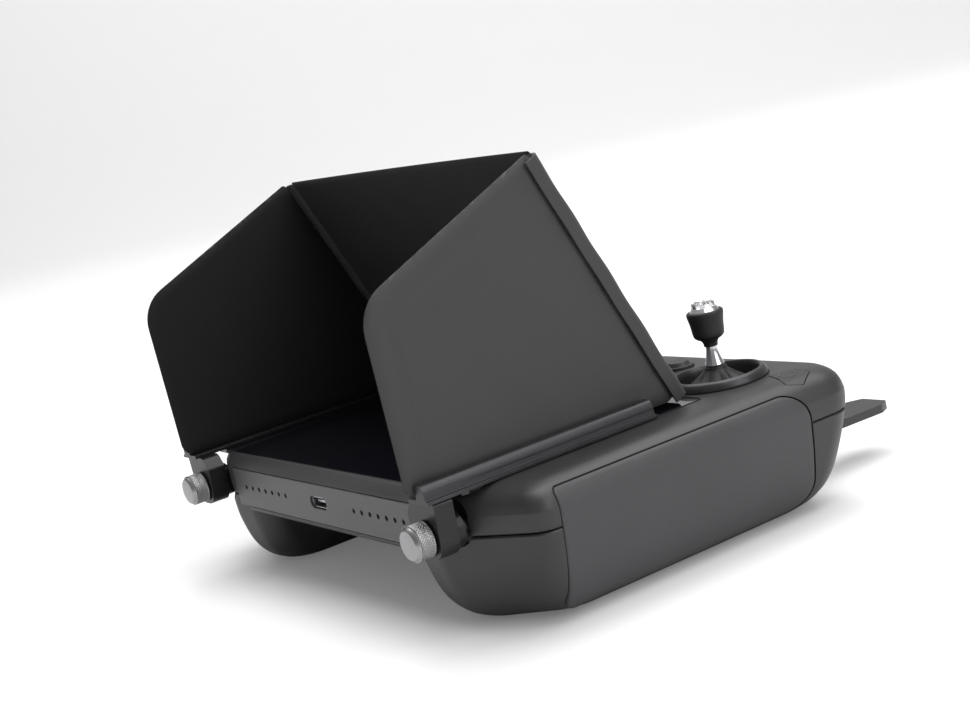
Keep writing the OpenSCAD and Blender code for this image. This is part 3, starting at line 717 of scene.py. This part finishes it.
def grip_hollow(s):
    """Tool for the inside of a grip, which stays solid round the antenna bay and the dial."""
    rows = [(SEAM + 1, 0.4, 0.4, 0, 0.4, REAR_R, 6.5)] + list(LOWER[::3])
    v, f = loft([flip(flat(grip_ring(p, 3.4), max(p[0], 0) * 0.87 + 3.4), s) for p in rows])
    hollow = make("tool", v, f)
    cut(hollow, [box_tool((-67, 104, -1), (67, 131, SEAM + 3)), dial_pocket(s, DIAL_R + 2.4, 5.6)])
    return hollow


def bottom_openings():
    """Tools for every opening of the lower casing."""
    tools = [box_tool((-BEZEL_X, -5, BELLY + 2.2), (BEZEL_X, 3, SEAM + 1)),
             box_tool((-52, 0, BELLY + 2), (52, 6, SEAM + 1))]
    for s in (1, -1):
        foot = s * 35
        tools += [pad_recess(s), screw_seat(s), dial_pocket(s, DIAL_R + 0.6, 3.4),
                  prism(rbox(foot - 4.2, 62.8, foot + 4.2, 77.2, 3.2), BELLY - 1, BELLY + 4)]
        for x, y, z in ((38, 12, BELLY + 0.2), (38, 98, BELLY + 0.2), (56, 30, 0.2), (56, 88, 0.2)):
            tools += [prism(circle(s * x, y, 2.5, 32), -1, z + 2.95),
                      prism(circle(s * x, y, 1.25, 20), -1, z + 5)]
    for i in range(-5, 6):
        y0, y1 = 50 + abs(i) * 1.2, 74 - abs(i) * 1.2
        tools.append(prism(rbox(i * 4 - 1, y0, i * 4 + 1, y1, 0.95), BELLY - 1, BELLY + 3))
    return tools


def build_bottom():
    base = middle_and_grips()
    antenna_bay = box_tool((-65, 106, -1), (65, 130, SEAM + 1))
    tray = box_tool((-52, 3, BELLY + 2), (52, 104, SEAM + 1))
    cut(base, [antenna_bay, tray, grip_hollow(1), grip_hollow(-1)])
    roof = box_tool((-67, 104, SEAM - 1.7), (67, 118.5, SEAM - 0.5))
    bosses = [prism(circle(s * 38, y, 4.2), BELLY + 1.2, BELLY + 5.8) for s in (1, -1) for y in (12, 98)]
    cut(base, [roof] + bosses, "UNION")
    cut(base, bottom_openings())
    cut(base, [dial_pocket(s, 1.45, 3.6) for s in (1, -1)], "UNION")
    finish_casing(base, "bottom_shell", "shell")


build_top()
build_bottom()

SIDES = (("right", 1), ("left", -1))
PAD_EDGE = [(0.0, -1.2), (0.0, -0.5), (0.06, -0.28), (0.2, -0.1), (0.45, 0.0), (0.9, 0.04), (2.0, 0.05)]
for side, s in SIDES:
    pad = side_patch(0.12, PAD_EDGE, s, side + "_pad", 30, back=-1.55, body="body", mat=MAT["pad"], smooth=55)
    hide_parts(side + "_grip_pad")

# ---------------------------------------------------------------- hood

HOOD_LO, HOOD_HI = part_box("hood_right_panel")
IN_X, OUT_X = HOOD_LO.x * 1000, HOOD_HI.x * 1000
PANEL_X = (IN_X + OUT_X) / 2
THICK = OUT_X - IN_X - 0.5
H_TOP = 74.2                        # height of the hood
LEAN = 32.5                         # how far the back panel's top leans towards the user
HOOD_Y = 79.5                       # foot of the back panel
CREASE_LEN = math.hypot(H_TOP, LEAN)
UP, OVER = H_TOP / CREASE_LEN, LEAN / CREASE_LEN
HEM = 6.2                           # stitched border, from the panel's edge


def rear_edge(z):
    """Y of the crease at height z above the screen."""
    return HOOD_Y - (CREASE_LEN + z * LEAN) / H_TOP


def distance(p, a, b):
    """Distance of each point of p from the segment a-b."""
    a, b = np.array(a, float), np.array(b, float)
    t = np.clip(((p - a) @ (b - a)) / ((b - a) @ (b - a)), 0, 1)
    return np.linalg.norm(p - (a + t[:, None] * (b - a)), axis=1)


def seg_groove(p, pts, width, depth):
    """Depth of a pressed line that runs along the open path pts."""
    best = np.min([distance(p, a, b) for a, b in zip(pts[:-1], pts[1:])], axis=0)
    return depth * np.exp(-(best / width) ** 2)


def grid_of(rim, step):
    """Points and faces of a flat sheet inside rim, divided into squares, and the indices of its rim."""
    bm = bmesh.new()
    bm.faces.new([bm.verts.new((p[0], p[1], 0)) for p in rim]).normal_update()
    for axis in (0, 1):
        k = rim[:, axis].min() + step
        while k < rim[:, axis].max():
            spot, turn = [0, 0, 0], [0, 0, 0]
            spot[axis], turn[axis] = k, 1
            everything = bm.verts[:] + bm.edges[:] + bm.faces[:]
            bmesh.ops.bisect_plane(bm, geom=everything, plane_co=spot, plane_no=turn)
            k += step
    bmesh.ops.remove_doubles(bm, verts=bm.verts, dist=0.02)
    bm.verts.index_update()
    pts = np.array([v.co[:2] for v in bm.verts])
    faces = [[v.index for v in f.verts] for f in bm.faces]
    border = {v.index for e in bm.edges if len(e.link_faces) == 1 for v in e.verts}
    bm.free()
    return pts, faces, border


def grid_sheet(name, corners, to3, groove, edge=0.8, puff=0.3):
    """Covered board: padded by puff, slightly wavy, with edges rounded over edge and pressed grooves."""
    rim = outline(corners, 10, 40)
    pts, faces, border = grid_of(rim, 1.6)
    d = np.min([distance(pts, rim[i - 1], rim[i]) for i in range(len(rim))], axis=0)
    roll = THICK / 2 * np.sqrt(np.clip(1 - (1 - np.clip(d / edge, 0, 1)) ** 2, 0, 1))
    pad = puff * (1 - np.exp(-d / 3.5))
    u, v = pts.T
    wave = (0.16 * np.sin(u * 0.095 + 0.7) * np.sin(v * 0.083 + 1.9)
            + 0.05 * np.sin(u * 0.31 + v * 0.22)) * np.clip(d / 12, 0, 1)
    outside = roll + pad + wave - groove(pts) * np.clip(d / 1.2, 0, 1)
    inside = -(roll + pad * 0.2) + wave * 0.6
    verts = [tuple(q) for q in to3(u, v, outside)]
    twin = {}
    for i, q in enumerate(to3(u, v, inside)):
        twin[i] = i if i in border else len(verts)
        if i not in border:
            verts.append(tuple(q))
    ob = make(name, verts, faces + [[twin[i] for i in f][::-1] for f in faces], smooth=75)
    ob.data.materials.append(MAT["hood"])
    ob.data.materials.append(MAT["lining"])
    return ob


def finish_panel(ob, inward, body, node):
    """Lines the faces that look inwards and puts the panel on its body."""
    way = Vector(inward).normalized()
    for p in ob.data.polygons:
        if p.normal.dot(way) > 0.25:
            p.material_index = 1
    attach(ob, body)
    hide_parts(node)


FRONT_TOP = (-9.4, 49.6)            # corners of a side panel's sloping upper edge: y, height
REAR_TOP = (rear_edge(H_TOP - 0.4), H_TOP - 0.4)


def side_groove(p):
    """Stitched border of a side panel, which turns the front corner in an arc."""
    along = np.array(REAR_TOP) - FRONT_TOP
    along /= np.linalg.norm(along)
    down = np.array([along[1], -along[0]])
    x = HEM - 9.0
    border = [(x, 3.0), (x, 41.0)]
    for i in range(7):
        angle = math.radians(180 - i * 11)
        border.append((x + 8.0 + 8.0 * math.cos(angle), 41.5 + 7.2 * math.sin(angle)))
    border += [FRONT_TOP + along * 16 + down * HEM, REAR_TOP - along * 6 + down * HEM]
    rear = [(rear_edge(66) - 3.4, 66), (rear_edge(8) - 3.4, 8)]
    bottom = [(rear_edge(5) - 20, 6.2), (rear_edge(5) - 9, 6.6), (rear_edge(9) - 4.2, 11)]
    return seg_groove(p, border, 1.0, 0.42) + seg_groove(p, rear, 0.7, 0.14) + seg_groove(p, bottom, 0.9, 0.3)


def side_panel(side, s):
    corners = [(-8.6, 1.4, 4.0), (rear_edge(1.4), 1.4, 3.4), (*REAR_TOP, 1.2), (*FRONT_TOP, 11.5)]

    def to3(u, v, w):
        return np.column_stack([s * (PANEL_X + w), u, TOP + v])

    ob = grid_sheet("hood_%s_cover" % side, corners, to3, side_groove)
    finish_panel(ob, (-s, 0, 0), "hood_" + side, "hood_%s_panel" % side)


def back_panel():
    w, top = 66.2, CREASE_LEN - 0.3
    corners = [(-w, 1.6, 3.0), (w, 1.6, 3.0), (w, top, 1.0), (-w, top, 1.0)]

    def to3(u, v, out):
        """u across, v up the leaning panel, out away from the user; the middle bows out."""
        bow = 1.6 * (1 - (u / w) ** 2) * np.clip(v / top, 0, 1) ** 2
        y = HOOD_Y + 0.8 - v * OVER + out * UP
        return np.column_stack([u, y + bow * 0.9, TOP + v * UP + out * OVER + bow * 0.1])

    def groove(p):
        upper, lower = ([(4 - w, v), (w - 4, v)] for v in (top - HEM, 7))
        return seg_groove(p, upper, 1.0, 0.4) + seg_groove(p, lower, 0.9, 0.25)

    ob = grid_sheet("hood_back_cover", corners, to3, groove)
    finish_panel(ob, (0, -H_TOP, -LEAN), "hood", "hood_back_panel")


def crease_section(r):
    """Quarter bend of the fabric from the back panel to a side panel: x, and distance behind the crease."""
    angles = [math.radians(90 * q) for q in np.linspace(0, 1, 13)]
    bend = [(PANEL_X + r * math.sin(a), r * math.cos(a)) for a in angles]
    outer = [(PANEL_X - 2.6, r)] + bend + [(PANEL_X + r, -2.8)]
    fabric = 0.55
    inner = [(x - fabric * (x > PANEL_X + 0.5), f - fabric * (f > 0.3)) for x, f in reversed(outer)]
    return np.array(outer + inner)


def crease_strip(side, s):
    """Soft fabric hinge between the back panel and a side panel."""
    steps = 60
    rows = []
    for i in range(steps + 1):
        z = (2.2 + (CREASE_LEN - 4.0) * i / steps) * UP
        x, f = crease_section(1.75 + 0.12 * math.sin(i * 0.45)).T
        rows.append(np.column_stack([s * x, rear_edge(z) + f * UP, TOP + z + f * OVER]))
    v, f = loft(rows)
    ob = make("hood_%s_crease" % side, v, f, mat=MAT["hood"], smooth=60)
    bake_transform(ob)


for side, s in SIDES:
    side_panel(side, s)
back_panel()
for side, s in SIDES:
    crease_strip(side, s)

# ---------------------------------------------------------------- sticks, rings, knobs, buttons

PIVOT_Z = mid("right_yoke").z * 1000


def smooth_profile(rows, n=2):
    """Rounds a closed (r, z) profile by cutting its corners lightly, n times."""
    p = np.array(rows, float)
    for _ in range(n):
        q = np.roll(p, -1, axis=0)
        p = np.stack([p * 0.8 + q * 0.2, p * 0.2 + q * 0.8], axis=1).reshape(-1, 2)
    return p


def gimbal_ring(side, s):
    rows = smooth_profile([(11.3, -2.5), (12.5, -2.5), (12.5, 0.02), (14, 0.02), (14.0, 0.5), (13.75, 1.3),
                           (13.2, 2.15), (12.5, 2.6), (11.95, 2.5), (11.6, 1.7), (11.4, 0.4)])
    ob = lathe(rows, (s * STICK_X, STICK_Y, TOP), 128, side + "_ring", body="body", mat=MAT["ring"],
               smooth=50)
    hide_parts(side + "_gimbal_ring")


def boot(side, s):
    """Black cone in ten sharp pleats that closes the gimbal's opening."""
    n, folds = 240, 10
    outside = [(10.95, 5.3), (10.9, 5.9), (10.2, 6.7), (9.0, 7.45), (7.6, 8.25), (6.2, 9.1), (4.9, 10.0),
               (3.8, 10.9), (3.1, 11.6), (2.9, 12.2)]
    inside = [(2.32, 12.3), (2.3, 11.2), (3.0, 10.4), (4.2, 9.4), (5.6, 8.4), (7.2, 7.5), (8.8, 6.7),
              (10.0, 5.9), (10.3, 5.3)]
    a = np.arange(n) * 2 * math.pi / n
    phase = (a * folds / (2 * math.pi) + 0.3) % 1.0
    valley = (1 - np.abs(phase - 0.5) * 2) ** 1.3
    rows = []
    for r, z in spline(outside + inside + outside[:1], 4)[:-1]:
        live = np.clip((r - 3.2) / 2.0, 0, 1) * np.clip((10.8 - r) / 1.6, 0, 1)
        rows.append(np.column_stack([s * STICK_X + r * np.cos(a), STICK_Y + r * np.sin(a),
                                     PIVOT_Z + z - 0.75 * live * valley]))
    rows.append(rows[0])
    v, f = loft(rows, caps=False)
    ob = make(side + "_boot_cone", v, f, body=side + "_stick_set", mat=MAT["boot"], smooth=28)
    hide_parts(side + "_boot")


def sleeve(side, s):
    """Rubber sleeve of the stick head."""
    rows = smooth_profile([(1.52, -1.6), (1.85, -1.7), (2.0, -0.6), (2.5, 0.2), (3.5, 0.65), (4.15, 1.3),
                           (4.38, 2.3), (4.47, 3.6), (4.65, 5.2), (4.95, 6.6), (5.08, 7.4), (4.98, 8.05),
                           (4.6, 8.3), (4.12, 8.2), (4.12, 5.65), (1.52, 5.6)])
    ob = lathe(rows, (s * STICK_X, STICK_Y, PIVOT_Z + 19.5), 120, side + "_sleeve", body=side + "_stick_set",
               mat=MAT["stick_rubber"], smooth=50)
    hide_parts(side + "_stick_grip")


def knob(side):
    """Thumbscrew: shank, diamond-knurled head and a chamfered face."""
    c = mid(side + "_thumbscrew") * 1000
    n, teeth, rows_of_knurl = 216, 36, 27
    a = np.arange(n) * 2 * math.pi / n
    shank = [(10.8, 0.2), (10.8, 1.5), (10.4, 1.88), (-5.3, 1.88), (-5.35, 3.9), (-5.5, 4.15), (-5.62, 4.3)]
    face = [(-9.8, 4.4), (-9.95, 4.34), (-10.6, 3.86), (-10.74, 3.72), (-10.78, 3.5), (-10.79, 1.2),
            (-10.8, 0.2)]

    def ring(y, r, knurl=0.0):
        turn = a * teeth / (2 * math.pi)
        left, right = (np.abs((turn + way * y * 1.15) % 1.0 - 0.5) * 2 for way in (1, -1))
        rr = r - knurl * (1 - np.minimum(left, right) ** 0.7)
        return np.column_stack([c.x + rr * np.cos(a), np.full(n, y), c.z + rr * np.sin(a)])

    rings = [ring(y, r) for y, r in shank]
    for i in range(rows_of_knurl):
        from_end = min(i, rows_of_knurl - 1 - i)
        rings.append(ring(-5.7 - i * 0.155, 4.62, 0.26 * min(1, from_end / 1.5)))
    rings += [ring(y, r) for y, r in face]
    v, f = loft(rings)
    ob = make(side + "_knob", v, f, body=side + "_screw", mat=MAT["knob"], smooth=32)
    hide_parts(side + "_thumbscrew")


def ring_mark(node, body):
    """Fine ring pressed into a corner button, laid on its sloping top."""
    mesh = NODES[node].data
    tree = BVHTree.FromPolygons([v.co for v in mesh.vertices], [tuple(p.vertices) for p in mesh.polygons])
    c = mid(node)
    n, m = 64, 8
    radius, wire, above = 0.0021, 0.00022, 0.08
    rings = []
    for t in np.arange(n) * 2 * math.pi / n:
        spot = Vector((c.x + radius * math.cos(t), c.y + radius * math.sin(t), above))
        z = tree.ray_cast(spot, Vector((0, 0, -1)))[0].z
        u = np.arange(m) * 2 * math.pi / m
        r = radius + wire * np.cos(u)
        rings.append(np.column_stack([c.x + r * math.cos(t), c.y + r * math.sin(t), z + 0.00016 * np.sin(u)]))
    v, f = loft(rings + rings[:1], caps=False)
    ob = make(node + "_mark", v * 1000 - (0, FRONT, 0), f, body=body, mat=MAT["frame"], smooth=60)


for side, s in SIDES:
    gimbal_ring(side, s)
    boot(side, s)
    sleeve(side, s)
    knob(side)
ring_mark("confirm_button", "confirm")
ring_mark("back_button", "back")

# ---------------------------------------------------------------- stage, light, camera

WHITE = (1, 1, 1, 1)
HEADING, DIP, ROLL = (math.radians(d) for d in (149.15, 11.12, 12.89))
CAMERA_AT = (408.74, -187.20, TOP + 99.0)
LENS, SENSOR = 61.9545, 36
SHIFT = (0.0098557, 0.0395567)      # the camera looks past the object's middle, in widths of the picture


def floor_material():
    """White paper. A little light of its own, which only the camera sees, keeps it white up the wall."""
    g = Graph("floor_white")
    tone = g.mix(g.noise(3, 3), (0.79, 0.79, 0.797), (0.81, 0.81, 0.817))
    seen = g.nt.nodes.new("ShaderNodeLightPath").outputs["Is Camera Ray"]
    split = g.nt.nodes.new("ShaderNodeSeparateXYZ")
    g.link(g.coord, split.inputs[0])
    glow = g.span(split.outputs["Z"], 0.0, 0.8, 0.12, 0.36)
    g.bsdf.inputs["Emission Color"].default_value = WHITE
    g.link(g.math("MULTIPLY", seen, glow), g.bsdf.inputs["Emission Strength"])
    return g.set(color=tone, rough=0.6, spec=0.2)


def stage():
    """Paper sweep in metres: flat under the object, then curved up behind it."""
    near, bend_at, bend_r, wide = -2.5, 1.6, 1.2, 4.0
    profile = [(near, 0.0)]
    for a in np.linspace(0, math.pi / 2, 24):
        profile.append((bend_at + bend_r * math.sin(a), bend_r - bend_r * math.cos(a)))
    profile.append((bend_at + bend_r, 4.0))
    away = Vector((math.cos(HEADING), math.sin(HEADING), 0))
    across = Vector((-away.y, away.x, 0))
    verts = [tuple(away * d + across * k + Vector((0, 0, z))) for d, z in profile for k in (-wide, wide)]
    faces = [(2 * i, 2 * i + 1, 2 * i + 3, 2 * i + 2) for i in range(len(profile) - 1)]
    mesh = bpy.data.meshes.new("floor")
    mesh.from_pydata(verts, [], faces)
    mesh.shade_smooth()
    mesh.materials.append(floor_material())
    ob = bpy.data.objects.new("floor", mesh)
    bpy.context.scene.collection.objects.link(ob)


def area(name, spot, target, size, watts):
    """Soft light of the given size at spot, aimed at target, in metres."""
    light = bpy.data.lights.new(name, "AREA")
    light.shape = "RECTANGLE"
    light.size, light.size_y = size
    light.energy = watts
    ob = bpy.data.objects.new(name, light)
    ob.location = spot
    ob.rotation_euler = (Vector(target) - Vector(spot)).to_track_quat("-Z", "Y").to_euler()
    bpy.context.scene.collection.objects.link(ob)


def lights():
    area("key", (-0.7, 0.1, 1.9), (0, 0, 0.03), (1.6, 1.6), 20)
    area("top", (0.3, 0.6, 1.9), (0, 0, 0.03), (2.4, 1.6), 38)
    area("side", (1.9, 0.45, 0.95), (0, 0, 0.05), (1.4, 1.2), 14)
    world = bpy.data.worlds.new("world")
    world.use_nodes = True
    sky = world.node_tree.nodes["Background"]
    sky.inputs["Color"].default_value = WHITE
    sky.inputs["Strength"].default_value = 0.32
    bpy.context.scene.world = world
    bpy.context.scene.view_settings.view_transform = "Standard"


def camera():
    """Stands in front of the right grip, looks down and back over the hood, and leans to one side."""
    cam = bpy.data.cameras.new("camera")
    cam.sensor_width, cam.lens = SENSOR, LENS
    cam.shift_x, cam.shift_y = SHIFT
    cam.clip_start, cam.clip_end = 0.01, 20
    ahead = Vector((math.cos(HEADING) * math.cos(DIP), math.sin(HEADING) * math.cos(DIP), -math.sin(DIP)))
    right = Quaternion(ahead, ROLL) @ ahead.cross(Vector((0, 0, 1))).normalized()
    ob = bpy.data.objects.new("camera", cam)
    ob.matrix_world = Matrix((right, right.cross(ahead), -ahead)).transposed().to_4x4()
    ob.location = at(*CAMERA_AT)
    bpy.context.scene.collection.objects.link(ob)
    bpy.context.scene.camera = ob


stage()
lights()
camera()
